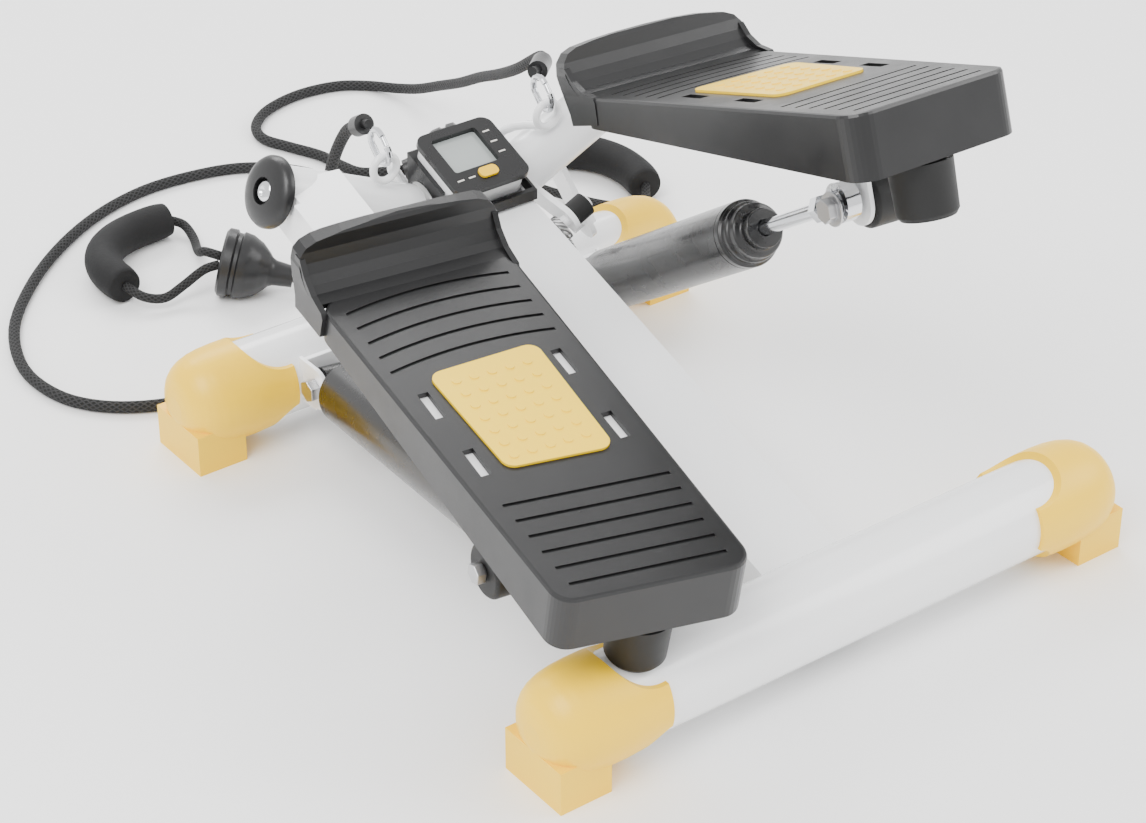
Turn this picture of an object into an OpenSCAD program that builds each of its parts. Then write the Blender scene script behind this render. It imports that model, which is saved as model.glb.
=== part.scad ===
// Twist-action mini stepper: two crossbars on a spine tube, two pedals on
// tilted axles, two hydraulic cylinders and two elastic bands with foam grips.

/* [Base frame] */
// Diameter of the crossbar tubes
bar_d = 59.7; // [56:0.1:62]
// Wall thickness of the crossbar tubes
bar_wall = 2; // [1.5:0.5:4]
// Height of the crossbar axes above the floor
bar_z = 40.4; // [39:0.1:42]
// Distance from the centre to each crossbar axis
bar_y = 213; // [205:1:220]
// Overall length of the rear crossbar with its caps
rear_length = 450; // [440:2:470]
// Overall length of the front crossbar with its caps
front_length = 420; // [410:2:440]
// Width of the spine tube
spine_w = 60; // [56:1:62]
// Depth of the spine tube
spine_d = 40; // [36:1:44]
// Wall thickness of the spine tube
spine_wall = 2; // [1.5:0.5:3]

/* [Pedals] */
// Upward tilt of each pedal axle
axle_tilt = 24.7; // [22:0.1:27]
// Diameter of the pedal axle
axle_d = 16; // [14:1:18]
// Turn of each pedal from one stop to the other
travel = 33.7; // [28:0.1:34]
// Slope of the foot deck at mid travel
deck_slope = 5.5; // [3:0.1:8]
// Radius of the pivot sleeve
sleeve_r = 19; // [18:0.5:20]
// Wall thickness of the moulded deck
deck_t = 3.5; // [3:0.1:5]
// Depth of the skirt at the toe
skirt_toe = 20; // [16:1:24]
// Depth of the skirt at the heel
skirt_heel = 39; // [34:1:42]
// Depth of the grooves in the deck
groove_t = 1.2; // [0.6:0.1:1.8]
// Width of the steel arm
arm_w = 44; // [40:1:46]

/* [Cylinders] */
// Radius of the cylinder body
barrel_r = 22.3; // [20:0.1:23]
// Radius of the chrome rod
rod_r = 5; // [4:0.5:6]
// Length of the cylinder body
barrel_len = 211; // [205:1:215]

/* [Display] */
// Tilt of the display face
face_tilt = 21; // [15:1:28]
// Width of the display bezel
bezel_w = 60; // [56:1:64]
// Height of the display bezel along its slope
bezel_h = 58; // [54:1:60]

/* [Bands] */
// Diameter of the elastic cords
cord_d = 8.5; // [8:0.1:9]
// Diameter of the loop strands
strand_d = 7; // [6:0.5:8]
// Diameter of the foam grips
grip_d = 28; // [26:1:30]

/* [Hidden] */
$fn = 48;
// the frame is centred on the whole object's footprint
centre_x = 33;
centre_y = 124;
axle_point = [0, 177, 132];
axle_dir = [-cos(axle_tilt), 0, sin(axle_tilt)];
// middle of the pad's toe edge, at mid travel
toe_point = [-109.1, -36.9, 233.4];
// lower pin of the cylinder, and the way it points at mid travel
pin_point = [-111, 169, 47.5];
swing_axis = [-0.877, -0.018, 0.4804];
swing = 31.05;
cyl_lean = 69.04;
len_down = 295.4;
len_up = 364.5;
// cable guide in the side of the spine
guide_point = [-33, 40, 100];
guide_axis = [0.805, 0.567, -0.174];
guide_swing = 22.66;
guide_rise = 16.8;
guide_side = 9.4;
cable_down = 94;
cable_up = 86;
bar_r = bar_d / 2;
spine_slope = 18;
face_point = [0, 160.5, 188];
eye_point = [66, 167, 196];
hook_rod = [[25, 193.2, 148], [42, 205, 185], [59.6, 167, 189.6]];

// ---------- placing ----------
module place() {
  translate([-centre_x, -centre_y, 0]) children();
}
module left_pedal_place() {
  place() translate(axle_point) rotate(a = -travel / 2, v = axle_dir) translate(-axle_point) children();
}
module right_pedal_place() {
  place() mirror([1, 0, 0]) translate(axle_point) rotate(a = travel / 2, v = axle_dir)
    translate(-axle_point) children();
}
// Z runs along the axle, outwards; -X points to the floor
module sleeve_frame() {
  translate(axle_point) rotate([0, -(90 - axle_tilt), 0]) children();
}
// X inwards, Y to the toe, Z up from the deck's face
module deck_frame() {
  translate(toe_point) rotate([-deck_slope, 0, 0]) children();
}
// Z runs from the lower pin to the rod eye, X along the pin
module left_cylinder_place() {
  place() translate(pin_point) rotate(a = -swing / 2, v = swing_axis) rotate([cyl_lean, 0, 0]) children();
}
module right_cylinder_place() {
  place() mirror([1, 0, 0]) translate(pin_point) rotate(a = swing / 2, v = swing_axis)
    rotate([cyl_lean, 0, 0]) children();
}
module guide_frame() {
  rotate([-(90 - guide_rise), 0, guide_side]) children();
}
module left_guide_place() {
  place() translate(guide_point) rotate(a = -guide_swing / 2, v = guide_axis) children();
}
module right_guide_place() {
  place() mirror([1, 0, 0]) translate(guide_point) rotate(a = guide_swing / 2, v = guide_axis) children();
}
module face_frame() {
  translate(face_point) rotate([face_tilt, 0, 0]) children();
}
module aim(p, q) {
  d = q - p;
  translate(p) rotate([0, acos(d[2] / norm(d)), atan2(d[1], d[0])]) children();
}
module both_sides() {
  children();
  mirror([1, 0, 0]) children();
}

// ---------- shapes ----------
// four-cornered outline with round corners; c holds the corner centres, anticlockwise
module round_quad(c, r) {
  polygon([for (i = [0:3]) let (a = c[(i + 3) % 4], b = c[i], d = c[(i + 1) % 4],
    from = atan2(a[0] - b[0], b[1] - a[1]), to = atan2(b[0] - d[0], d[1] - b[1]),
    turn = to < from ? to + 360 - from : to - from)
    for (k = [0:8]) b + r * [cos(from + turn * k / 8), sin(from + turn * k / 8)]]);
}
function unit(v) = v / norm(v);
function way(p, i) = unit(p[min(i + 1, len(p) - 1)] - p[max(i - 1, 0)]);
// tube swept along the points p
module tube_along(p, r, sides, side_of = [0, 0, 1]) {
  n = len(p);
  pts = [for (i = [0:n - 1]) let (t = way(p, i), s = unit(cross(t, side_of)), u = cross(s, t))
    for (j = [0:sides - 1]) p[i] + r * (cos(360 * j / sides) * s + sin(360 * j / sides) * u)];
  faces = [
    [for (j = [sides - 1:-1:0]) j],
    for (i = [0:n - 2]) for (j = [0:sides - 1]) let (k = (j + 1) % sides)
      each [[i * sides + j, i * sides + k, (i + 1) * sides + k],
        [i * sides + j, (i + 1) * sides + k, (i + 1) * sides + j]],
    [for (j = [0:sides - 1]) (n - 1) * sides + j]];
  polyhedron(points = pts, faces = faces, convexity = 6);
}
// points of a smooth bend from a to c, pulled towards b
function bend(a, b, c, n) = [for (i = [0:n]) let (t = i / n)
  (1 - t) * (1 - t) * a + 2 * t * (1 - t) * b + t * t * c];
module tube(r, t, h) {
  difference() {
    cylinder(r = r, h = h);
    translate([0, 0, -1]) cylinder(r = r - t, h = h + 2);
  }
}

// ---------- cord routes ----------
left_route = [[-65, 200.2, 212.9], [-61, 222, 198], [-54, 252, 160], [-40, 285, 108], [-16, 314, 54],
  [14, 344, 18], [50, 388, 4.5], [80, 430, 4.5], [90, 475, 4.5], [76, 515, 4.5], [46, 545, 4.5],
  [8, 558, 4.5], [-40, 560, 4.5], [-90, 545, 4.5], [-140, 515, 4.5], [-185, 475, 4.5],
  [-222, 428, 4.5], [-242, 375, 4.5], [-240, 330, 4.5], [-222, 298, 4.5], [-190, 276, 4.5],
  [-150, 266, 4.5], [-105, 268, 4.5], [-68, 280, 4.5], [-38, 297, 4.5], [-14, 316, 5.5],
  [-7, 336, 8], [-14, 348, 11], [-27.5, 358, 14.2]];
right_route = [[95.1, 212.1, 210], [113, 240, 198], [130, 290, 165], [156, 350, 130], [179, 409, 98],
  [199, 465, 66], [212, 515, 40], [218, 555, 20], [217, 585, 9], [206, 611, 4.5], [186, 626, 4.5],
  [160, 632, 4.5], [134, 630, 4.5], [108, 620, 4.5], [89, 602, 4.5], [83, 580, 4.5], [92, 556, 4.5],
  [104, 528, 4.5], [108, 500, 5], [112, 476, 8], [134.5, 452, 13.4]];
// a coupler's wide face centre and the end of its neck
left_bell = [[-68, 392, 26], [-27.5, 358, 14.2]];
right_bell = [[176, 428, 26], [134.5, 452, 13.4]];
left_grip_line = bend([-58, 492, 14.4], [-142, 496, 14.4], [-134, 420, 14.4], 8);
right_grip_line = bend([245, 408, 14.4], [292, 380, 14.4], [270, 316, 14.4], 8);

// ---------- base ----------
module crossbar(y, length) {
  translate([0, y, bar_z]) rotate([0, 90, 0]) translate([0, 0, 22 - length / 2])
    tube(bar_r, bar_wall, length - 44);
}
module rear_crossbar() {
  color("gainsboro") place() crossbar(-bar_y, rear_length);
}
module front_crossbar() {
  color("gainsboro") place() crossbar(bar_y, front_length);
}
module bar_space(y) {
  translate([0, y, bar_z]) rotate([0, 90, 0]) cylinder(r = bar_r, h = 500, center = true);
}
module spine_line() {
  translate([0, 0, 112.2]) rotate([spine_slope, 0, 0]) children();
}
module spine_tube() {
  color("gainsboro") place() difference() {
    intersection() {
      spine_line() difference() {
        translate([-spine_w / 2, -250, -spine_d]) cube([spine_w, 420, spine_d]);
        translate([-spine_w / 2 + spine_wall, -251, spine_wall - spine_d])
          cube([spine_w - 2 * spine_wall, 422, spine_d - 2 * spine_wall]);
      }
      translate([-50, -bar_y, 5]) cube([100, bar_y + 135, 200]);
    }
    bar_space(-bar_y);
    both_sides() translate(guide_point) guide_frame() {
      cylinder(r = 11.2, h = 16, center = true);
      translate([0, 0, -40]) cylinder(r = 7.8, h = 62);
    }
  }
}
module head_post() {
  color("gainsboro") place() difference() {
    translate([-spine_w / 2, 135, 14]) cube([spine_w, 55, 158]);
    translate([-spine_w / 2 + 2, 137, 12]) cube([spine_w - 4, 51, 158]);
    bar_space(bar_y);
    both_sides() sleeve_frame() cylinder(d = axle_d, h = 60);
    // sloping top under the display
    face_frame() translate([-40, -60, -19.3]) cube([80, 120, 60]);
  }
}
module pedal_axles() {
  color("silver") place() both_sides() sleeve_frame() difference() {
    translate([0, 0, 20]) cylinder(d = axle_d, h = 140.4);
    translate([0, 0, 140]) cylinder(r = 4, h = 30);
  }
}
// domed end cap, with its end on X = half
function cap_edge(x) = x < 175 ? 32.5 + (x - 147) * 1.5 / 28
  : 34 * pow(1 - pow((x - 175) / 50, 3.2), 1 / 3.2);
module end_cap(half, y) {
  shift = half - 225;
  translate([shift, y, bar_z]) difference() {
    union() {
      rotate([0, 90, 0]) rotate_extrude($fn = 64) polygon(concat([[0, 147]],
        [for (x = [147, 161, 175, 185, 195, 203, 210, 215, 219, 222, 224]) [cap_edge(x), x]],
        [[8, 225], [0, 225]]));
      translate([188, -27, -bar_z]) cube([36.5, 54, 30]);
    }
    // room for the tube
    rotate([0, 90, 0]) cylinder(r = bar_r, h = 203.1);
    // open notch over the top of the tube, and one below it
    translate([150, 0, 90 - bar_z]) rotate([90, 0, 0]) cylinder(r = 31, h = 90, center = true);
    translate([140, 0, -32]) rotate([90, 0, 0]) cylinder(r = 24, h = 90, center = true);
    // cored foot
    translate([193, -22, -bar_z - 1]) cube([26, 12, 9]);
    translate([193, 10, -bar_z - 1]) cube([26, 12, 9]);
  }
}
module rear_left_cap() {
  color("gold") place() mirror([1, 0, 0]) end_cap(rear_length / 2, -bar_y);
}
module rear_right_cap() {
  color("gold") place() end_cap(rear_length / 2, -bar_y);
}
module front_left_cap() {
  color("gold") place() mirror([1, 0, 0]) end_cap(front_length / 2, bar_y);
}
module front_right_cap() {
  color("gold") place() end_cap(front_length / 2, bar_y);
}
// clevis on the rear side of the front crossbar, for one cylinder
module cylinder_ear() {
  translate([-111, 0, 0]) difference() {
    union() {
      for (x = [-16, 13]) translate([x, 0, 0]) {
        translate([0, 169, 47.5]) rotate([0, 90, 0]) cylinder(r = 15.5, h = 3);
        translate([0, 169, 30]) cube([3, 20, 33]);
      }
      translate([-16, 182, 30]) cube([32, 4, 33]);
    }
    translate([111, 0, 0]) bar_space(bar_y);
    translate([-20, 169, 47.5]) rotate([0, 90, 0]) cylinder(r = 4.3, h = 40);
  }
}
module left_cylinder_ear() {
  color("gainsboro") place() cylinder_ear();
}
module right_cylinder_ear() {
  color("gainsboro") place() mirror([1, 0, 0]) cylinder_ear();
}
module cylinder_pins() {
  color("silver") place() both_sides() translate([-111, 169, 47.5]) rotate([0, 90, 0]) {
    translate([0, 0, -20]) cylinder(r = 4, h = 40);
    translate([0, 0, -23]) cylinder(r = 8, h = 6.9, $fn = 6);
    translate([0, 0, 16.1]) cylinder(r = 7.5, h = 6, $fn = 6);
  }
}
module axle_caps() {
  color("black") place() both_sides() sleeve_frame() difference() {
    union() {
      translate([0, 0, 160.6]) rotate_extrude() polygon([[0, 0], [24, 0], [24, 3], [22.5, 5.5],
        [19, 7.4], [14, 8.4], [9, 8.8], [9, 5.5], [0, 5.5]]);
      translate([0, 0, 145]) cylinder(r = 3.9, h = 16);
    }
    translate([0, 0, 165]) cylinder(r = 9, h = 5);
    // cross slot in the recessed screw head
    for (a = [0, 90]) rotate(a) translate([-4.5, -0.8, 163.8]) cube([9, 1.6, 5]);
  }
}
module hook_eyes() {
  color("gainsboro") place() both_sides() {
    // bent rod from the front of the head, over the sleeve, to the eye
    tube_along(bend(hook_rod[0], hook_rod[1], hook_rod[2], 8), 3, 12);
    translate(eye_point) rotate([90, 0, 0]) rotate_extrude() translate([9, 0]) circle(2.6, $fn = 24);
  }
}
module cable_sockets() {
  color("dimgray") place() both_sides() translate(guide_point) guide_frame() difference() {
    cylinder(r = 11.1, h = 8, center = true);
    sphere(7.15);
  }
}

// ---------- display ----------
module slab(w, h, r, t) {
  linear_extrude(t) round_quad([[r - w / 2, r - h / 2], [w / 2 - r, r - h / 2],
    [w / 2 - r, h / 2 - r], [r - w / 2, h / 2 - r]], r);
}
module display_cradle() {
  color("black") place() difference() {
    union() {
      difference() {
        translate([-32, 132, 157]) cube([64, 60, 30]);
        face_frame() translate([-50, -50, -12]) cube([100, 100, 40]);
      }
      face_frame() translate([0, 0, -24]) slab(62, 58, 9, 12);
    }
    face_frame() translate([0, 0, -19]) slab(57, 53, 7, 20);
    translate([-30.1, 134.9, 100]) cube([60.2, 55.2, 72.1]);
    // the sleeves pass beside it
    both_sides() sleeve_frame() translate([0, 0, 10]) cylinder(r = 21, h = 80);
  }
}
module display_housing() {
  color("gainsboro") place() face_frame() difference() {
    translate([0, 0, -18.9]) slab(56.8, 52.8, 6.9, 14.9);
    translate([0, 0, -17]) slab(52, 48, 5, 20);
  }
}
module display_bezel() {
  color("black") place() face_frame() difference() {
    translate([0, 0, -3.9]) slab(bezel_w, bezel_h, 8, 3.9);
    translate([-2.5, 6, -10]) slab(36, 32, 2, 20);
    translate([1, -17, -10]) slab(14.6, 8.6, 3.5, 20);
    // shallow generic marks beside the window
    for (y = [16, 6, -4]) translate([21, y, -0.5]) slab(6, 2, 0.9, 1);
    for (x = [-21, -12]) translate([x, -17, -0.5]) slab(6, 2, 0.9, 1);
  }
}
module lcd_window() {
  color("darkseagreen") place() face_frame() translate([-2.5, 6, -6.5]) slab(41, 35, 2, 2.5);
}
module circuit_board() {
  color("darkgreen") place() face_frame() {
    translate([0, 0, -12]) slab(50, 46, 4, 1.6);
    translate([1, -17, -10.4]) cylinder(r = 2.5, h = 2.2);
    translate([-12, 4, -15.2]) cylinder(r = 8, h = 3.2);
  }
}
module mode_button() {
  color("gold") place() face_frame() translate([1, -17, 0]) {
    translate([0, 0, -6.4]) slab(14.4, 8.4, 3.4, 8);
    translate([0, 0, -6.4]) slab(18, 10, 4, 1.6);
  }
}

// ---------- bands ----------
// oval snap ring round p and q, upright along Y, with a straight gate on its upper side
module snap_ring(p, q) {
  d = unit(q - p);
  e = [0, -d[2], d[1]];
  tube_along([for (c = [q, p]) for (a = [90:-22.5:-90]) let (b = c == q ? a : a - 180)
    c + 8 * (cos(b) * d + sin(b) * e)], 2.2, 12, [1, 0, 0]);
  aim(p + 8 * e + 0.8 * d, q + 8 * e) cylinder(r = 1.8, h = norm(q - p) - 1.6);
}
module snap_hooks() {
  color("silver") place() {
    translate([-66, 0, 0]) snap_ring([0, 169.05, 207.05], [0, 174.6, 212.6]);
    translate([66, 0, 0]) snap_ring([0, 169.05, 207.05], [0, 174.6, 212.6]);
  }
}
module cord_cups() {
  color("dimgray") place() {
    // a short neck from the hook, then the cup that holds the cord's end
    aim([-66, 184.9, 220.9], [-66, 192, 219]) cylinder(r = 3, h = 8);
    aim([-66, 190, 219], [-65, 200, 213]) cylinder(r = 7, h = norm([1, 10, 6]));
    aim([67, 185, 220.9], [78, 192, 217]) cylinder(r = 3, h = 12);
    aim([75, 190, 217], [95, 212, 210]) cylinder(r = 7, h = norm([20, 22, 7]));
  }
}
module left_cord() {
  color("black") place() tube_along(left_route, cord_d / 2, 8);
}
module right_cord() {
  color("black") place() tube_along(right_route, cord_d / 2, 8);
}
module bell(p, q) {
  aim(p, q) rotate_extrude() polygon([[0, 0], [23, 0], [25.6, 2], [25.6, 8], [23.5, 9.5], [23.5, 12],
    [25, 13.5], [24, 20], [20, 28], [14.5, 34], [11, 37], [9.5, 40], [8, norm(q - p)],
    [0, norm(q - p)]]);
}
module band_couplers() {
  color("dimgray") place() {
    bell(left_bell[0], left_bell[1]);
    bell(right_bell[0], right_bell[1]);
  }
}
module left_loop() {
  color("black") place() {
    tube_along([[-64.6, 397.2, 26.5], [-71, 410, 27], [-67, 426, 18], [-57, 448, 8], [-48, 470, 5.5],
      [-47, 486, 9], left_grip_line[0]], strand_d / 2, 8);
    tube_along([[-72.2, 387.8, 26.5], [-83, 393, 23], [-99, 397, 13], [-115, 396, 9], [-128, 403, 11],
      left_grip_line[8]], strand_d / 2, 8);
  }
}
module right_loop() {
  color("black") place() {
    tube_along([[179.4, 433, 26.5], [192, 427, 28], [212, 424, 20], [230, 418, 15], right_grip_line[0]],
      strand_d / 2, 8);
    tube_along([[173.4, 422.5, 26.5], [186, 412, 22], [202, 386, 10], [222, 346, 6], [240, 313, 7],
      [256, 301, 10], right_grip_line[8]], strand_d / 2, 8);
  }
}
module left_grip() {
  color("dimgray") place() tube_along(left_grip_line, grip_d / 2, 16);
}
module right_grip() {
  color("dimgray") place() tube_along(right_grip_line, grip_d / 2, 16);
}

// ---------- pedal pieces, drawn for the left side at mid travel ----------
module sleeve() {
  sleeve_frame() translate([0, 0, 46]) tube(sleeve_r, 2.5, 112);
}
module bushes() {
  sleeve_frame() for (d = [46, 138]) translate([0, 0, d]) difference() {
    cylinder(r = sleeve_r - 2.5, h = 20);
    translate([0, 0, -1]) cylinder(r = axle_d / 2 + 0.06, h = 22);
  }
}
module arm() {
  difference() {
    union() {
      deck_frame() difference() {
        translate([-34, -172, -38]) cube([arm_w, 410, 31]);
        translate([-31, -180, -41]) cube([arm_w - 6, 430, 31]);
        // rounded lip at the open heel end
        translate([-40, -176, -44]) rotate([0, 90, 0]) cylinder(r = 18, h = 60);
      }
      // tab for the rod bolt, and the plate that carries the foot deck
      deck_frame() {
        translate([-54, -104, -7]) cube([108, 100, 2.8]);
        translate([-11.5, -95.5, -75]) rotate([0, 90, 0]) cylinder(r = 15, h = 3);
        translate([-11.5, -110.5, -75]) cube([3, 30, 66]);
      }
    }
    deck_frame() translate([-14, -95.5, -75]) rotate([0, 90, 0]) cylinder(r = 4.1, h = 10);
    sleeve_frame() cylinder(r = sleeve_r, h = 220);
    // clear of the end cap, and nothing reaches past the sleeve
    sleeve_frame() translate([0, 0, 157.5]) cylinder(r = 27, h = 60);
    sleeve_frame() translate([-60, 0, 0]) cube([120, 60, 220]);
  }
}
module lever() {
  sleeve_frame() {
    // stop lever
    difference() {
      rotate(180 - travel / 2) translate([0, -11, 78]) union() {
        cube([78, 22, 4]);
        translate([78, 11, 0]) cylinder(r = 11, h = 4);
      }
      translate([0, 0, 70]) cylinder(r = sleeve_r, h = 20);
    }
    rotate(180 - travel / 2) translate([75, 0, 70]) {
      cylinder(r = 3.4, h = 8);
      translate([0, 0, 12]) cylinder(r = 6.5, h = 5, $fn = 6);
    }
    // cable horn and its pin
    difference() {
      rotate(261 - travel / 2) translate([0, -10, 46]) union() {
        cube([59.8, 20, 4]);
        translate([59.8, 10, 0]) cylinder(r = 10, h = 4);
      }
      translate([0, 0, 40]) cylinder(r = sleeve_r, h = 20);
    }
    rotate(261 - travel / 2) translate([59.8, 0, 33.5]) {
      cylinder(r = 4, h = 33);
      cylinder(r = 7.5, h = 1.5);
    }
  }
}
module roller() {
  sleeve_frame() rotate(261 - travel / 2) translate([59.8, 0, 50.3]) difference() {
    cylinder(r = 8.5, h = 14);
    translate([0, 0, -1]) cylinder(r = 4.05, h = 16);
  }
}
deck_c = [[47, -202], [52.5, 83], [-53, 73], [-45, -190]];
module deck_outline(r) {
  round_quad([deck_c[0], deck_c[1], deck_c[2], deck_c[3]], r);
}
module deck() {
  deck_frame() difference() {
    union() {
      difference() {
        union() {
          translate([0, 0, -48]) linear_extrude(45.5) deck_outline(14);
          // bevelled top edge
          hull() {
            translate([0, 0, -2.5]) linear_extrude(0.5) deck_outline(14);
            translate([0, 0, -0.8]) linear_extrude(0.4) deck_outline(13.3);
            translate([0, 0, -0.2]) linear_extrude(0.2) deck_outline(12);
          }
        }
        translate([0, 0, -60]) linear_extrude(60 - deck_t) deck_outline(14 - deck_t);
        // sloping lower edge of the skirt
        rotate([90, 0, 90]) translate([0, 0, -100]) linear_extrude(200)
          polygon([[130, -60], [130, 4 - skirt_toe], [96, -skirt_toe], [-215, -skirt_heel],
            [-240, -skirt_heel - 2], [-240, -60]]);
      }
      // toe guard: a scooped wall with a crowned top edge and round ends
      intersection() {
        rotate([90, 0, 90]) translate([0, 0, -72]) linear_extrude(142)
          polygon([[84, -3.5], [84, 0], [93, 0.8], [99, 3.2], [104, 8], [107.5, 14], [109.5, 21],
            [110.5, 29], [112, 31.6], [115, 32.6], [118.5, 31.6], [120.5, 28.5], [121, 20], [119, 8],
            [115, -6], [111, -skirt_toe], [107, -skirt_toe], [108, -3.5]]);
        translate([0, 160, 0]) rotate([90, 0, 0]) linear_extrude(120)
          polygon([[-68, -40], [-70, 0], [-70.5, 12], [-69, 19], [-65, 24], [-58, 27.2], [-40, 30.2],
            [-20, 31.8], [0, 32.4], [20, 32], [40, 30.8], [54, 29.2], [61, 26.5], [65.5, 21], [67.5, 13],
            [67, 0], [65, -40]]);
      }
      // returns at both ends of the guard
      for (x = [-70, 63.2]) rotate([90, 0, 90]) translate([0, 0, x]) linear_extrude(3.8)
        polygon([[74, -3.5], [76, 0], [90, 3], [101, 9.5], [108, 18], [115, 18], [111, -skirt_toe],
          [76, -skirt_toe + 2]]);
      // bosses for the bumper and the arm screws
      translate([4.6, -191.5, -40]) cylinder(r = 15, h = 38);
      for (y = [60, -130]) translate([-12, y, -7]) cylinder(r = 8, h = 5);
    }
    // five curved grooves ahead of the pad, cut as thin rings
    for (i = [0:4]) translate([0, 77 - i * 15 - 260, -groove_t]) difference() {
      cylinder(r = 260, h = 5, $fn = 96);
      translate([0, 0, -1]) cylinder(r = 257.5, h = 7, $fn = 96);
      translate([-300, -300, -2]) cube([600, 540, 9]);
      for (x = [56, -356]) translate([x, -300, -2]) cube([300, 600, 9]);
    }
    // six straight grooves behind the pad
    for (i = [0:5]) translate([-50 + i * 0.7, -121 - i * 14.2, -groove_t]) rotate(-7)
      cube([104 - i * 1.6, 2.5, 5]);
    // four slots beside the pad
    for (p = [[-47, -26], [-46, -81], [46, -20], [45.5, -83]])
      translate([p[0] - 3.5, p[1] - 12, -10]) cube([7, 24, 20]);
    // seat of the pad
    translate([0, 0, -1.5]) linear_extrude(5) round_quad([[27, -92], [29, -7], [-29, -9], [-25, -86]], 8.2);
    // pocket of the bumper's screw
    translate([4.6, -191.5, -41]) cylinder(r = 3.2, h = 32);
    // way through the toe skirt for the arm
    translate([-34.4, 80, -50]) cube([arm_w + 0.8, 60, 43.4]);
  }
}
module pad() {
  deck_frame() {
    translate([0, 0, -1.5]) linear_extrude(3) round_quad([[27, -92], [29, -7], [-29, -9], [-25, -86]], 8);
    // raised dots
    for (i = [-2:2]) for (j = [0:6]) translate([i * 12, -13 - j * 12, 1]) cylinder(r = 3, h = 1.1, $fn = 16);
  }
}
module bumper() {
  deck_frame() translate([4.6, -191.5, -79]) {
    translate([0, 0, 6]) cylinder(r1 = 16.5, r2 = 18.5, h = 3);
    translate([0, 0, 9]) cylinder(r1 = 18.5, r2 = 19.5, h = 30);
    translate([0, 0, 39]) cylinder(r = 3, h = 20);
  }
}
module rod_bolt() {
  deck_frame() translate([0, -95.5, -75]) rotate([0, 90, 0]) {
    // bolt, star head on the inner side, nut on the outer side
    translate([0, 0, -48]) cylinder(r = 4, h = 62);
    translate([0, 0, 8.5]) cylinder(r = 11, h = 1.6);
    translate([0, 0, 10.1]) cylinder(r = 8, h = 6, $fn = 6);
    translate([0, 0, -50]) cylinder(r = 7, h = 6, $fn = 6);
  }
}
module rod_roller() {
  deck_frame() translate([-43, -95.5, -75]) rotate([0, 90, 0])
    rotate_extrude() polygon([[4.06, 0], [16, 0], [18, 2], [18, 29], [16, 31], [4.06, 31]]);
}
module left_sleeve() {
  color("gainsboro") left_pedal_place() sleeve();
}
module right_sleeve() {
  color("gainsboro") right_pedal_place() sleeve();
}
module left_bushes() {
  color("ivory") left_pedal_place() bushes();
}
module right_bushes() {
  color("ivory") right_pedal_place() bushes();
}
module left_arm() {
  color("gainsboro") left_pedal_place() arm();
}
module right_arm() {
  color("gainsboro") right_pedal_place() arm();
}
module left_lever() {
  color("gainsboro") left_pedal_place() lever();
}
module right_lever() {
  color("gainsboro") right_pedal_place() lever();
}
module left_roller() {
  color("black") left_pedal_place() roller();
}
module right_roller() {
  color("black") right_pedal_place() roller();
}
module left_deck() {
  color("dimgray") left_pedal_place() deck();
}
module right_deck() {
  color("dimgray") right_pedal_place() deck();
}
module left_pad() {
  color("black") left_pedal_place() pad();
}
module right_pad() {
  color("black") right_pedal_place() pad();
}
module left_bumper() {
  color("black") left_pedal_place() bumper();
}
module right_bumper() {
  color("black") right_pedal_place() bumper();
}
module left_rod_bolt() {
  color("silver") left_pedal_place() rod_bolt();
}
module right_rod_bolt() {
  color("silver") right_pedal_place() rod_bolt();
}
module left_rod_roller() {
  color("black") left_pedal_place() rod_roller();
}
module right_rod_roller() {
  color("black") right_pedal_place() rod_roller();
}

// ---------- hydraulic cylinders, Z from the lower pin to the rod eye ----------
module barrel() {
  difference() {
    union() {
      translate([0, 0, 22]) cylinder(r = barrel_r, h = barrel_len);
      translate([0, 0, 10]) cylinder(r = 9, h = 13);
      rotate([0, 90, 0]) cylinder(r = 12, h = 17, center = true);
    }
    translate([0, 0, 30]) cylinder(r = barrel_r - 2.5, h = barrel_len);
    rotate([0, 90, 0]) cylinder(r = 5.6, h = 30, center = true);
  }
}
module gland() {
  translate([0, 0, 22 + barrel_len]) rotate_extrude() polygon([[rod_r + 0.06, -6], [19.7, -6], [19.7, 0],
    [22.3, 0], [22.3, 6], [20, 7], [20, 12], [18, 13.5], [18, 19], [13, 21], [13, 29], [rod_r + 0.06, 29]]);
}
module rod(length) {
  difference() {
    union() {
      translate([0, 0, length - 150]) cylinder(r = 19.2, h = 10);
      translate([0, 0, length - 141]) cylinder(r = rod_r, h = 132);
      translate([0, 0, length - 30]) cylinder(r = 9, h = 8, $fn = 6);
      translate([0, 0, length - 22.1]) cylinder(r = 6.4, h = 13);
      translate([0, 0, length]) rotate([0, 90, 0]) cylinder(r = 12.5, h = 10, center = true);
    }
    translate([0, 0, length]) rotate([0, 90, 0]) cylinder(r = 7.9, h = 30, center = true);
  }
}
module left_barrel() {
  color("dimgray") left_cylinder_place() barrel();
}
module right_barrel() {
  color("dimgray") right_cylinder_place() barrel();
}
module left_gland() {
  color("black") left_cylinder_place() gland();
}
module right_gland() {
  color("black") right_cylinder_place() gland();
}
module left_rod() {
  color("silver") left_cylinder_place() rod(len_down);
}
module right_rod() {
  color("silver") right_cylinder_place() rod(len_up);
}

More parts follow.
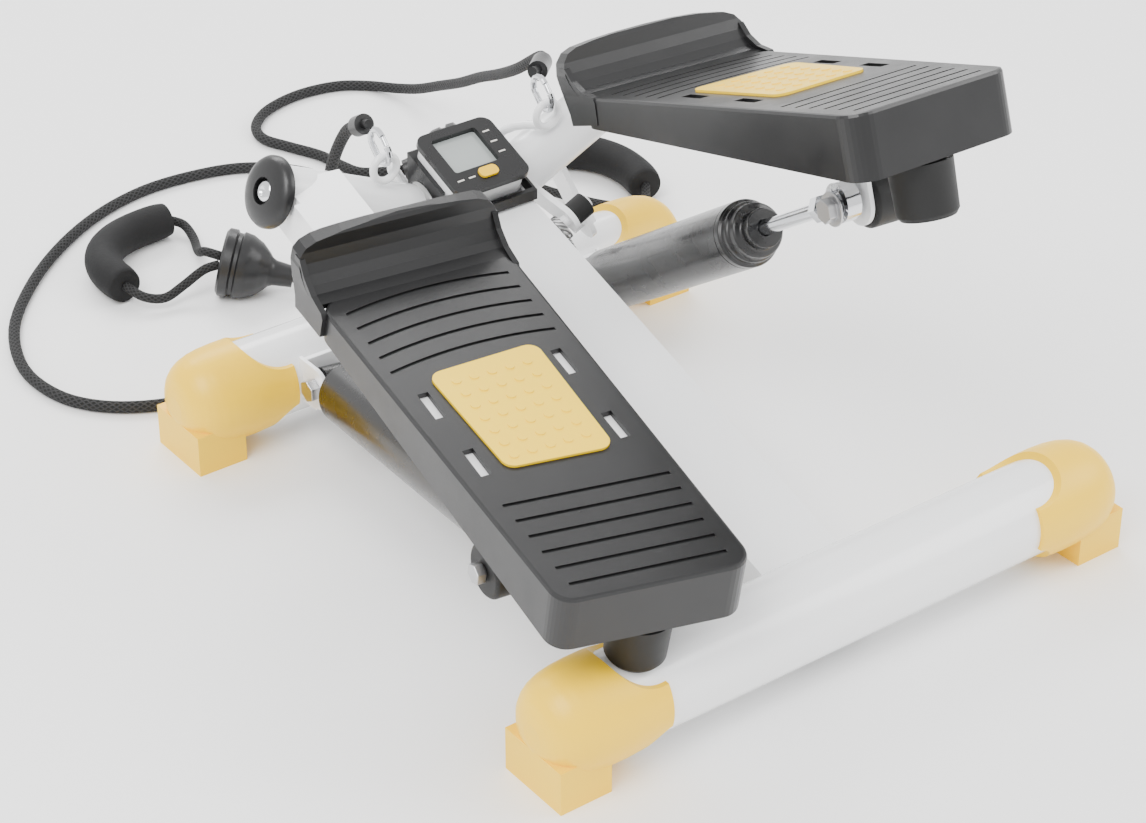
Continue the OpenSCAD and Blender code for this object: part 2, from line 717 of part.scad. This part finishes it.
// ---------- cables that make the pedals move against each other ----------
module cable_guide() {
  guide_frame() difference() {
    union() {
      sphere(7);
      translate([0, 0, -14]) cylinder(r = 3.8, h = 28);
    }
    translate([0, 0, -20]) cylinder(r = 2.1, h = 40);
  }
}
module cable(length) {
  guide_frame() translate([0, 0, -20]) cylinder(r = 2.04, h = length + 12.5);
  // thimble round the horn's pin
  translate(length * [-cos(guide_rise) * sin(guide_side), cos(guide_rise) * cos(guide_side), sin(guide_rise)])
    rotate([0, -(90 - axle_tilt), 0]) cable_ring();
}
module cable_ring() {
  rotate_extrude() polygon([[6.3, -2.2], [9.5, -2.2], [9.5, 2.2], [6.3, 2.2]]);
}
module left_cable_guide() {
  color("silver") left_guide_place() cable_guide();
}
module right_cable_guide() {
  color("silver") right_guide_place() cable_guide();
}
module left_cable() {
  color("gray") left_guide_place() cable(cable_down);
}
module right_cable() {
  color("gray") right_guide_place() cable(cable_up);
}

rear_crossbar();
front_crossbar();
spine_tube();
head_post();
pedal_axles();
rear_left_cap();
rear_right_cap();
front_left_cap();
front_right_cap();
left_cylinder_ear();
right_cylinder_ear();
cylinder_pins();
axle_caps();
hook_eyes();
cable_sockets();
display_cradle();
display_housing();
display_bezel();
lcd_window();
circuit_board();
mode_button();
snap_hooks();
cord_cups();
left_cord();
right_cord();
band_couplers();
left_loop();
right_loop();
left_grip();
right_grip();
left_sleeve();
left_bushes();
left_arm();
left_lever();
left_roller();
left_deck();
left_pad();
left_bumper();
left_rod_bolt();
left_rod_roller();
right_sleeve();
right_bushes();
right_arm();
right_lever();
right_roller();
right_deck();
right_pad();
right_bumper();
right_rod_bolt();
right_rod_roller();
left_barrel();
left_gland();
left_rod();
right_barrel();
right_gland();
right_rod();
left_cable_guide();
right_cable_guide();
left_cable();
right_cable();
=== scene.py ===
"""Visual model of a twist-action mini stepper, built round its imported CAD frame."""
import math
import bpy
import bmesh
from mathutils import Matrix, Vector


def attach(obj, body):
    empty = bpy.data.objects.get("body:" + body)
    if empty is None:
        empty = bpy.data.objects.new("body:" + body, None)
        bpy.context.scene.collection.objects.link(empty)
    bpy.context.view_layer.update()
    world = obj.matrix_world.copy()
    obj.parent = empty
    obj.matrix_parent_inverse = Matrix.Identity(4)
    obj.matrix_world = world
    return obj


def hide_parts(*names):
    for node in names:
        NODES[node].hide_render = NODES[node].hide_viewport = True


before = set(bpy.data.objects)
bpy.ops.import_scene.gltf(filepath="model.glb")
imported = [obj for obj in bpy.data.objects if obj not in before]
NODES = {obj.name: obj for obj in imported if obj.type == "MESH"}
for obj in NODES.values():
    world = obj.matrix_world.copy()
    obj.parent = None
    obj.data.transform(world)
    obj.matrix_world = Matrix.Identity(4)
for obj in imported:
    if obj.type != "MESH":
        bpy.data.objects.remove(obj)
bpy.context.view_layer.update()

SHIFT = Vector((-33.0, -124.0, 0.0))      # from the middle of the base to the row frame's origin, mm
CAMERA_AT = (-990.9, -1278.3, 1084.4)     # mm, fitted to the photo's view
CAMERA_LOOKS = (0.5063, 0.6783, -0.5326)
CAMERA_LENS = 92.09


def mm(p):
    """A point given in mm from the middle of the base, in metres in the row frame."""
    return (Vector(p) + SHIFT) / 1000.0


# ---------------------------------------------------------------- camera
cam_data = bpy.data.cameras.new("camera")
cam_data.sensor_width = 36.0
cam_data.sensor_fit = "HORIZONTAL"
cam_data.lens = CAMERA_LENS
cam_data.clip_start, cam_data.clip_end = 0.05, 50.0
cam = bpy.data.objects.new("camera", cam_data)
bpy.context.scene.collection.objects.link(cam)
cam.location = mm(CAMERA_AT)
cam.rotation_euler = Vector(CAMERA_LOOKS).to_track_quat("-Z", "Y").to_euler()
bpy.context.scene.camera = cam


# ---------------------------------------------------------------- materials
class Nodes:
    """A short way to write a node tree."""

    def __init__(self, name):
        self.mat = bpy.data.materials.new(name)
        self.mat.use_nodes = True
        self.tree = self.mat.node_tree
        self.tree.nodes.clear()
        self.out = self.add("ShaderNodeOutputMaterial")
        self.bsdf = self.add("ShaderNodeBsdfPrincipled")
        self.link(self.bsdf, "BSDF", self.out, "Surface")
        self.coord = self.add("ShaderNodeTexCoord")

    def add(self, kind, **values):
        n = self.tree.nodes.new(kind)
        for k, v in values.items():
            if hasattr(n, k):
                setattr(n, k, v)
            else:
                n.inputs[k.replace("_", " ")].default_value = v
        return n

    def link(self, a, out, b, socket):
        self.tree.links.new(a.outputs[out], b.inputs[socket])

    def noise(self, scale, detail=3.0, rough=0.5, space="Object"):
        n = self.add("ShaderNodeTexNoise", Scale=scale, Detail=detail, Roughness=rough)
        self.link(self.coord, space, n, "Vector")
        return n

    def ramp(self, src, out, stops):
        r = self.add("ShaderNodeValToRGB")
        e = r.color_ramp.elements
        while len(e) < len(stops):
            e.new(0.5)
        for el, (pos, col) in zip(e, stops):
            el.position = pos
            el.color = (*col, 1.0) if len(col) == 3 else col
        self.link(src, out, r, "Fac")
        return r

    def set(self, **values):
        for k, v in values.items():
            self.bsdf.inputs[k.replace("_", " ")].default_value = v
        return self

    def bump(self, src, out, height, strength=1.0, chain=None):
        b = self.add("ShaderNodeBump", Strength=strength, Distance=height)
        self.link(src, out, b, "Height")
        if chain is not None:
            self.link(chain, "Normal", b, "Normal")
        return b


def finish_like(name, base, rough, var=0.04, grain=1500.0, grain_h=0.00003, wave=60.0, wave_h=0.0,
                edge=None, rough_var=0.06, **sockets):
    """Colour that drifts a little, roughness that varies, fine grain, and worn edges if asked."""
    m = Nodes(name)
    drift = m.noise(9.0, 4.0)
    lo = tuple(max(0.0, c * (1 - var)) for c in base)
    hi = tuple(min(1.0, c * (1 + var)) for c in base)
    col = m.ramp(drift, "Fac", [(0.3, lo), (0.7, hi)])
    if edge is not None:
        geo = m.add("ShaderNodeNewGeometry")
        mask = m.ramp(geo, "Pointiness", [(0.50, (0, 0, 0)), (0.58, (1, 1, 1))])
        mix = m.add("ShaderNodeMix", data_type="RGBA")
        m.link(mask, "Color", mix, "Factor")
        m.tree.links.new(col.outputs["Color"], mix.inputs["A"])
        mix.inputs["B"].default_value = (*edge, 1.0)
        m.tree.links.new(mix.outputs["Result"], m.bsdf.inputs["Base Color"])
    else:
        m.link(col, "Color", m.bsdf, "Base Color")
    smear = m.noise(35.0, 5.0, 0.6)
    r = m.add("ShaderNodeMapRange", From_Min=0.25, From_Max=0.75, To_Min=rough - rough_var,
              To_Max=rough + rough_var)
    m.link(smear, "Fac", r, "Value")
    m.link(r, "Result", m.bsdf, "Roughness")
    chain = None
    if wave_h:
        chain = m.bump(m.noise(wave, 2.0), "Fac", wave_h)
    g = m.bump(m.noise(grain, 3.0, 0.6), "Fac", grain_h, 1.0, chain)
    m.link(g, "Normal", m.bsdf, "Normal")
    m.set(**sockets)
    return m.mat


WHITE = finish_like("white_powder_coat", (0.90, 0.905, 0.91), 0.22, 0.015, 900.0, 0.00002, 220.0,
                    0.00004, rough_var=0.04, Coat_Weight=0.35, Coat_Roughness=0.08)
YELLOW = finish_like("yellow_moulded_plastic", (1.0, 0.60, 0.0), 0.38, 0.03, 2600.0, 0.00005,
                     rough_var=0.05, Specular_IOR_Level=0.45)
PAD = finish_like("yellow_pad_rubber", (1.0, 0.64, 0.0), 0.34, 0.03, 2200.0, 0.00003,
                  rough_var=0.06, Specular_IOR_Level=0.5)
BLACK = finish_like("black_moulded_plastic", (0.0065, 0.0065, 0.007), 0.33, 0.10, 2400.0, 0.00005,
                    rough_var=0.06, Specular_IOR_Level=0.5)
BEZEL = finish_like("black_display_plastic", (0.006, 0.006, 0.0065), 0.28, 0.08, 3000.0, 0.00002,
                    rough_var=0.04)
CHROME = finish_like("polished_chrome", (0.72, 0.73, 0.75), 0.13, 0.03, 800.0, 0.000006,
                     rough_var=0.05, Metallic=1.0)
STEEL = finish_like("zinc_plated_steel", (0.50, 0.50, 0.51), 0.33, 0.08, 700.0, 0.00002,
                    rough_var=0.09, Metallic=1.0)
PAINT = finish_like("black_satin_paint", (0.006, 0.006, 0.0065), 0.27, 0.08, 1200.0, 0.00002,
                    200.0, 0.00003, rough_var=0.05, Coat_Weight=0.25, Coat_Roughness=0.15)
RUBBER = finish_like("black_rubber", (0.008, 0.008, 0.008), 0.55, 0.15, 1800.0, 0.00006,
                     rough_var=0.08, Specular_IOR_Level=0.35)
FOAM = finish_like("foam_grip_skin", (0.007, 0.007, 0.0075), 0.75, 0.2, 1400.0, 0.00022,
                   500.0, 0.0002, rough_var=0.06, Specular_IOR_Level=0.3)
NYLON = finish_like("natural_nylon", (0.72, 0.70, 0.65), 0.45, 0.03, 1500.0, 0.00003)
BOARD = finish_like("circuit_board_green", (0.02, 0.12, 0.04), 0.35, 0.2, 900.0, 0.00003)
LCD = finish_like("display_glass", (0.36, 0.39, 0.38), 0.10, 0.03, 500.0, 0.000004,
                  rough_var=0.02, Coat_Weight=0.8, Coat_Roughness=0.03)


def cord_material():
    """Woven sleeve: two sets of slanting ribs over the tube's own length and girth."""
    m = Nodes("woven_cord_sleeve")
    sep = m.add("ShaderNodeSeparateXYZ")
    m.link(m.coord, "UV", sep, "Vector")
    waves = []
    for sign in (1.0, -1.0):
        a = m.add("ShaderNodeMath", operation="MULTIPLY")
        m.link(sep, "X", a, 0)
        a.inputs[1].default_value = 2.0 * math.pi * 1.6
        b = m.add("ShaderNodeMath", operation="MULTIPLY")
        m.link(sep, "Y", b, 0)
        b.inputs[1].default_value = sign * 2.0 * math.pi * 8.0
        c = m.add("ShaderNodeMath", operation="ADD")
        m.link(a, "Value", c, 0)
        m.link(b, "Value", c, 1)
        d = m.add("ShaderNodeMath", operation="SINE")
        m.link(c, "Value", d, 0)
        waves.append(d)
    top = m.add("ShaderNodeMath", operation="MAXIMUM")
    m.link(waves[0], "Value", top, 0)
    m.link(waves[1], "Value", top, 1)
    col = m.ramp(top, "Value", [(0.2, (0.006, 0.006, 0.006)), (1.0, (0.030, 0.030, 0.031))])
    m.link(col, "Color", m.bsdf, "Base Color")
    b1 = m.bump(top, "Value", 0.0003)
    b2 = m.bump(m.noise(3000.0, 3.0), "Fac", 0.0001, 1.0, b1)
    m.link(b2, "Normal", m.bsdf, "Normal")
    m.set(Roughness=0.75, Specular_IOR_Level=0.3)
    return m.mat


def rope_material():
    m = Nodes("twisted_wire_rope")
    w = m.add("ShaderNodeTexWave", Scale=160.0, Distortion=0.0)
    w.bands_direction = "DIAGONAL"
    m.link(m.coord, "Object", w, "Vector")
    col = m.ramp(w, "Fac", [(0.2, (0.16, 0.16, 0.16)), (0.8, (0.50, 0.50, 0.50))])
    m.link(col, "Color", m.bsdf, "Base Color")
    m.link(m.bump(w, "Fac", 0.0004), "Normal", m.bsdf, "Normal")
    m.set(Roughness=0.35, Metallic=1.0)
    return m.mat


CORD = cord_material()
ROPE = rope_material()


# ---------------------------------------------------------------- pieces
def put(name, mesh, material, body, slot, *nodes):
    o = bpy.data.objects.new(name, mesh)
    bpy.context.scene.collection.objects.link(o)
    mesh.materials.append(material)
    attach(o, body)
    if nodes:
        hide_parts(*nodes)
    return o


def smooth_line(points, steps):
    """A Catmull-Rom line through points given in mm, in metres."""
    p = [mm(q) for q in points]
    p = [2 * p[0] - p[1]] + p + [2 * p[-1] - p[-2]]
    line = []
    for i in range(1, len(p) - 2):
        a, b, c, d = p[i - 1:i + 3]
        for k in range(steps):
            t = k / steps
            line.append(0.5 * (2 * b + (c - a) * t + (2 * a - 5 * b + 4 * c - d) * t * t
                               + (3 * b - a - 3 * c + d) * t ** 3))
    line.append(p[-2])
    return line


def line_length(line):
    return sum((b - a).length for a, b in zip(line, line[1:]))


def tube_mesh(name, line, radius, sides=20, swell=None):
    """A closed round tube along a line, with UVs: X in diameters along it, Y once round it."""
    bm = bmesh.new()
    uv = bm.loops.layers.uv.new("UVMap")
    rings, along, s = [], [], 0.0
    n = len(line)
    side = None
    for i, p in enumerate(line):
        t = (line[min(i + 1, n - 1)] - line[max(i - 1, 0)]).normalized()
        if side is None:
            side = t.cross(Vector((0, 0, 1)))
            if side.length < 0.05:
                side = t.cross(Vector((1, 0, 0)))
        side = (side - t * side.dot(t)).normalized()
        up = side.cross(t)
        if i:
            s += (p - line[i - 1]).length
        r = radius * (swell(i / (n - 1)) if swell else 1.0)
        rings.append([bm.verts.new(p + r * (math.cos(a) * side + math.sin(a) * up))
                      for a in (2 * math.pi * k / sides for k in range(sides))])
        along.append(s / (2 * radius))
    for i in range(n - 1):
        for k in range(sides):
            k2 = (k + 1) % sides
            f = bm.faces.new((rings[i][k], rings[i + 1][k], rings[i + 1][k2], rings[i][k2]))
            f.smooth = True
            for loop, (u, v) in zip(f.loops, ((i, k), (i + 1, k), (i + 1, k + 1), (i, k + 1))):
                loop[uv].uv = (along[u], v / sides)
    bm.faces.new(list(rings[0]))
    bm.faces.new(list(reversed(rings[-1])))
    bmesh.ops.recalc_face_normals(bm, faces=bm.faces)
    mesh = bpy.data.meshes.new(name)
    bm.to_mesh(mesh)
    bm.free()
    return mesh


# ---------------------------------------------------------------- cords
# Routes are in mm and repeat the points of the same cords in part.scad.
LEFT_ROUTE = [
    (-65, 200.2, 212.9), (-61, 222, 198), (-54, 252, 160), (-40, 285, 108), (-16, 314, 54),
    (14, 344, 18), (50, 388, 4.5), (80, 430, 4.5), (90, 475, 4.5), (76, 515, 4.5), (46, 545, 4.5),
    (8, 558, 4.5), (-40, 560, 4.5), (-90, 545, 4.5), (-140, 515, 4.5), (-185, 475, 4.5),
    (-222, 428, 4.5), (-242, 375, 4.5), (-240, 330, 4.5), (-222, 298, 4.5), (-190, 276, 4.5),
    (-150, 266, 4.5), (-105, 268, 4.5), (-68, 280, 4.5), (-38, 297, 4.5), (-14, 316, 5.5),
    (-7, 336, 8), (-14, 348, 11), (-27.5, 358, 14.2)]
RIGHT_ROUTE = [
    (95.1, 212.1, 210), (113, 240, 198), (130, 290, 165), (156, 350, 130), (179, 409, 98),
    (199, 465, 66), (212, 515, 40), (218, 555, 20), (217, 585, 9), (206, 611, 4.5), (186, 626, 4.5),
    (160, 632, 4.5), (134, 630, 4.5), (108, 620, 4.5), (89, 602, 4.5), (83, 580, 4.5), (92, 556, 4.5),
    (104, 528, 4.5), (108, 500, 5), (112, 476, 8), (134.5, 452, 13.4)]
CORD_D, STRAND_D, GRIP_D = 0.0085, 0.007, 0.028


def bend(a, b, c, n=8):
    a, b, c = Vector(a), Vector(b), Vector(c)
    return [(1 - t) ** 2 * a + 2 * t * (1 - t) * b + t * t * c for t in (i / n for i in range(n + 1))]


LEFT_GRIP = bend((-58, 492, 14.4), (-142, 496, 14.4), (-134, 420, 14.4))
RIGHT_GRIP = bend((245, 408, 14.4), (292, 380, 14.4), (270, 316, 14.4))


def make_cord(name, points, diameter, node, steps=5):
    line = smooth_line(points, steps)
    o = put(name, tube_mesh(name, line, diameter / 2), CORD, "base", "cord_fabric", node)
    return o


make_cord("left_band_cord", LEFT_ROUTE, CORD_D, "left_cord")
make_cord("right_band_cord", RIGHT_ROUTE, CORD_D, "right_cord")
make_cord("left_loop_near", [(-64.6, 397.2, 26.5), (-71, 410, 27), (-67, 426, 18), (-57, 448, 8),
                             (-48, 470, 5.5), (-47, 486, 9), LEFT_GRIP[0]],
          STRAND_D, "left_loop")
make_cord("left_loop_far", [(-72.2, 387.8, 26.5), (-83, 393, 23), (-99, 397, 13), (-115, 396, 9),
                            (-128, 403, 11), LEFT_GRIP[-1]], STRAND_D, "left_loop")
make_cord("right_loop_near", [(179.4, 433, 26.5), (192, 427, 28), (212, 424, 20), (230, 418, 15),
                              RIGHT_GRIP[0]], STRAND_D, "right_loop")
make_cord("right_loop_far", [(173.4, 422.5, 26.5), (186, 412, 22), (202, 386, 10), (222, 346, 6),
                             (240, 313, 7), (256, 301, 10), RIGHT_GRIP[-1]],
          STRAND_D, "right_loop")


# ---------------------------------------------------------------- CAD nodes
def dress(material, *names, bevel=0.0008, segments=2, angle=32.0):
    """Material and softened edges for CAD nodes whose shape stays."""
    for n in names:
        o = NODES[n]
        o.data.materials.clear()
        o.data.materials.append(material)
        w = o.modifiers.new("weld", "WELD")
        w.merge_threshold = 0.00001
        if bevel:
            b = o.modifiers.new("soft_edges", "BEVEL")
            b.width = bevel
            b.segments = segments
            b.limit_method = "ANGLE"
            b.angle_limit = math.radians(angle)
            b.use_clamp_overlap = True
            b.harden_normals = False
        s = o.modifiers.new("even_shading", "WEIGHTED_NORMAL")
        s.keep_sharp = True


LR = ("left_", "right_")


def both(*names):
    return [s + n for s in LR for n in names]


dress(WHITE, "rear_crossbar", "front_crossbar", "spine_tube", "head_post", "hook_eyes",
      *both("cylinder_ear"), bevel=0.001, segments=3)
dress(WHITE, "display_housing", *both("sleeve", "arm", "lever"), bevel=0.0006)
dress(YELLOW, "rear_left_cap", "rear_right_cap", "front_left_cap", "front_right_cap", bevel=0.0025,
      segments=4)
dress(YELLOW, "mode_button", bevel=0.0008, segments=3)
dress(PAD, *both("pad"), bevel=0.0005)
dress(BLACK, *both("deck"), bevel=0.0005)
dress(BLACK, "axle_caps", "band_couplers", "cord_cups", bevel=0.0008, segments=3)
dress(BEZEL, "display_cradle", "display_bezel", bevel=0.0006)
dress(STEEL, "pedal_axles", "cylinder_pins", *both("rod_bolt", "cable_guide"), bevel=0.0005)
dress(CHROME, "snap_hooks", *both("rod"), bevel=0.0)
dress(PAINT, "cable_sockets", *both("barrel", "gland"), bevel=0.001, segments=3)
dress(RUBBER, *both("bumper", "roller", "rod_roller"), bevel=0.001, segments=3)
dress(NYLON, *both("bushes"), bevel=0.0)
dress(ROPE, *both("cable"), bevel=0.0)
dress(LCD, "lcd_window", bevel=0.0)
dress(BOARD, "circuit_board", bevel=0.0)
for side, line in (("left", LEFT_GRIP), ("right", RIGHT_GRIP)):
    rounded = smooth_line([tuple(p) for p in line], 4)
    mesh = tube_mesh(side + "_foam_grip", rounded, GRIP_D / 2, 28,
                     lambda t: 0.90 + 0.10 * min(1.0, 14 * min(t, 1 - t)) ** 0.5)
    put(side + "_foam_grip", mesh, FOAM, "base", "grip_foam", side + "_grip")


# ---------------------------------------------------------------- weld beads and small trim
AXLE = Vector((0, 177, 132))              # where the two pedal axles would meet
TILT = math.radians(24.7)                 # of each pedal axle
AXLE_REACH = 165.2                        # out along the axle to the face of its cap
BAR_R, BAR_Z, REAR_BAR_Y = 29.85, 40.4, -213
RIPPLE = 0.0032                           # length of one ripple of weld, in metres
DISPLAY_AT = (0, 160.5, 188)
DISPLAY_TILT = math.radians(21.0)
MARK_W, MARK_H, MARK_THICK, MARK_SINK = 5.2, 1.2, 0.5, -0.28


def bead(name, points, radius):
    """A weld bead in mm: a fat line that swells and narrows in ripples."""
    line = smooth_line(points, 14)
    ripples = line_length(line) / RIPPLE

    def swell(t):
        return (0.90 + 0.12 * math.sin(2 * math.pi * ripples * t)) if 0 < t < 1 else 0.5

    return put(name, tube_mesh(name, line, radius / 1000.0, 12, swell), WHITE, "base", "white_steel")


def on_rear_bar(x, z):
    """The point of the rear crossbar's forward surface at this height."""
    dz = z - BAR_Z
    return (x, REAR_BAR_Y + math.sqrt(max(0.0, BAR_R ** 2 - dz * dz)), z)


bead("spine_weld", [on_rear_bar(x, z) for x, z in (
    (-29.5, 20), (-30.3, 38), (-29.5, 51.5), (-15, 52.6), (0, 52.6), (15, 52.6), (29.5, 51.5),
    (30.3, 38), (29.5, 20))], 2.6)
HEAD_WELD = [(-30.2, 184, 24), (-30.2, 184, 52), (-30.2, 189, 60), (-30.2, 190, 66)]
for sx, side in ((1, "left"), (-1, "right")):
    bead(side + "_head_weld", [(sx * x, y, z) for x, y, z in HEAD_WELD], 2.3)
    bead(side + "_spine_head_weld", [(sx * -30.2, 134.6, z) for z in (118, 130, 142, 154)], 2.3)


def turned_mesh(name, profile, at, axis, sides=40):
    """A turned piece from (radius, height) pairs in mm, standing at a point on an axis."""
    q = Vector(axis).to_track_quat("Z", "Y").to_matrix()
    bm = bmesh.new()
    rings = []
    for r, h in profile:
        rings.append([bm.verts.new(mm(Vector(at) + q @ Vector((r * math.cos(a), r * math.sin(a), h))))
                      for a in (2 * math.pi * k / sides for k in range(sides))])
    for a, b in zip(rings, rings[1:]):
        for k in range(sides):
            f = bm.faces.new((a[k], a[(k + 1) % sides], b[(k + 1) % sides], b[k]))
            f.smooth = True
    bm.faces.new(list(reversed(rings[0])))
    bm.faces.new(rings[-1])
    bmesh.ops.recalc_face_normals(bm, faces=bm.faces)
    mesh = bpy.data.meshes.new(name)
    bm.to_mesh(mesh)
    bm.free()
    return mesh


# A pan head with a dished middle.
SCREW_PROFILE = [(7.6, 0.0), (7.8, 0.6), (7.6, 1.8), (6.6, 2.8), (5.0, 3.5), (3.4, 3.8), (3.0, 3.6),
                 (2.6, 2.2), (0.6, 2.0)]
for sx, side in ((1, "left"), (-1, "right")):
    out = Vector((-sx * math.cos(TILT), 0, math.sin(TILT)))
    name = side + "_axle_screw"
    put(name, turned_mesh(name, SCREW_PROFILE, AXLE + out * AXLE_REACH, out), CHROME, "base", "chrome")


def mark(name, x, y):
    """A plain bar on the display's face, where the real one has a word."""
    bm = bmesh.new()
    bmesh.ops.create_cube(bm, size=1.0)
    m = (Matrix.Translation(mm(DISPLAY_AT)) @ Matrix.Rotation(DISPLAY_TILT, 4, "X")
         @ Matrix.Translation(Vector((x, y, MARK_SINK)) / 1000.0)
         @ Matrix.Diagonal((MARK_W / 1000.0, MARK_H / 1000.0, MARK_THICK / 1000.0, 1.0)))
    bm.transform(m)
    mesh = bpy.data.meshes.new(name)
    bm.to_mesh(mesh)
    bm.free()
    return put(name, mesh, NYLON, "base", "nylon")


for k, (x, y) in enumerate(((21, 16), (21, 6), (21, -4), (-21, -17), (-12, -17))):
    mark("legend_%d" % (k + 1), x, y)


# ---------------------------------------------------------------- stage
def plane(name, size, z, material):
    bm = bmesh.new()
    bmesh.ops.create_grid(bm, x_segments=2, y_segments=2, size=size)
    mesh = bpy.data.meshes.new(name)
    bm.to_mesh(mesh)
    bm.free()
    mesh.materials.append(material)
    o = bpy.data.objects.new(name, mesh)
    o.location.z = z
    bpy.context.scene.collection.objects.link(o)
    return o


plane("floor", 6.0, 0.0, finish_like("pale_floor", (0.95, 0.95, 0.95), 0.6, 0.005, 400.0, 0.00001))


def area(name, at, target, size, power):
    d = bpy.data.lights.new(name, "AREA")
    d.shape = "RECTANGLE"
    d.size, d.size_y = size
    d.energy = power
    o = bpy.data.objects.new(name, d)
    o.location = at
    o.rotation_euler = (Vector(target) - Vector(at)).to_track_quat("-Z", "Y").to_euler()
    bpy.context.scene.collection.objects.link(o)


area("key", (-1.6, -0.6, 2.4), (0, 0, 0.1), (1.6, 1.6), 75.0)
area("fill", (1.9, -1.4, 1.7), (0, 0, 0.1), (1.8, 1.4), 40.0)
area("back", (0.6, 2.2, 2.0), (0, 0, 0.1), (2.4, 1.0), 60.0)
world = bpy.data.worlds.new("studio")
world.use_nodes = True
world.node_tree.nodes["Background"].inputs["Color"].default_value = (1, 1, 1, 1)
world.node_tree.nodes["Background"].inputs["Strength"].default_value = 1.5
bpy.context.scene.world = world
